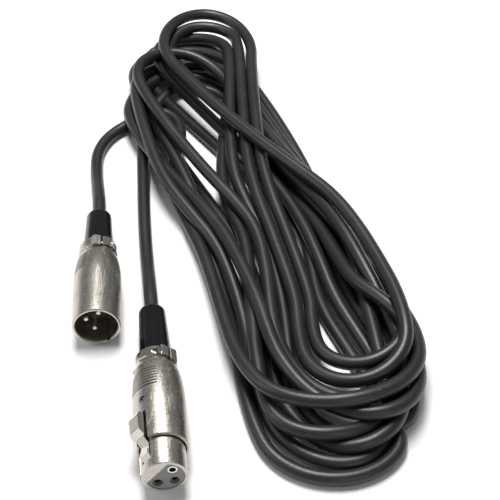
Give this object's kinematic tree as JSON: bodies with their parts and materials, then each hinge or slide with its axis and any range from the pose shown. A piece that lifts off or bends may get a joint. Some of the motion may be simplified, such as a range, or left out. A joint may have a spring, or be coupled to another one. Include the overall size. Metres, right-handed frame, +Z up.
{
  "type": "xlr cable coil",
  "caption": "Loosely coiled black balanced audio cable with a metal male plug at one end and a latching metal female plug at the other.",
  "frame": {"origin": "on the floor, in the middle of the box round the two plugs", "axes": "+Z up; the plugs lie along Y with their mating faces towards -Y; the coil lies towards +Y and +X of them"},
  "size_m": [0.1492, 0.3124, 0.026],
  "materials": {
    "satin_nickel": "satin nickel plated die casting",
    "polished_nickel": "bright nickel plated",
    "screw_steel": "zinc plated steel",
    "silver_contact": "silver plated brass",
    "male_insulator": "moulded thermoplastic",
    "female_insulator": "moulded thermoplastic",
    "boot_rubber": "semi-gloss moulded rubber",
    "cable_jacket": "matte flexible jacket",
    "red_insulation": "conductor insulation",
    "white_insulation": "conductor insulation",
    "tinned_copper": "tinned copper strands"
  },
  "bodies": {
    "cable": {"male_shell": "satin_nickel", "male_insert": "male_insulator", "male_pin_1": "silver_contact", "male_pin_2": "silver_contact", "male_pin_3": "silver_contact", "male_insert_screw": "screw_steel", "male_clamp_saddle": "polished_nickel", "male_clamp_screws": "screw_steel", "male_boot": "boot_rubber", "male_cable_end": "cable_jacket", "male_wire_red": "red_insulation", "male_wire_white": "white_insulation", "male_shield_drain": "tinned_copper", "female_shell": "satin_nickel", "female_nose_barrel": "satin_nickel", "female_insert": "female_insulator", "female_contact_1": "silver_contact", "female_contact_2": "silver_contact", "female_contact_3": "silver_contact", "female_latch_pin": "screw_steel", "female_insert_screw": "screw_steel", "female_clamp_saddle": "polished_nickel", "female_clamp_screws": "screw_steel", "female_boot": "boot_rubber", "female_cable_end": "cable_jacket", "female_wire_red": "red_insulation", "female_wire_white": "white_insulation", "female_shield_drain": "tinned_copper", "cable_male_lead": "cable_jacket", "cable_female_lead": "cable_jacket", "cable_coil": "cable_jacket"},
    "latch": {"female_latch": "polished_nickel", "female_latch_spring": "screw_steel"}
  },
  "joints": [
    {"name": "female_latch_press", "type": "hinge", "parent": "cable", "child": "latch", "pos_m": [0.00937, -0.04565, 0.01469], "axis": [0.6364, 0.0918, 0.7659], "range_deg": [0, 4], "stiffness_Nm_per_rad": 0.05}
  ]
}
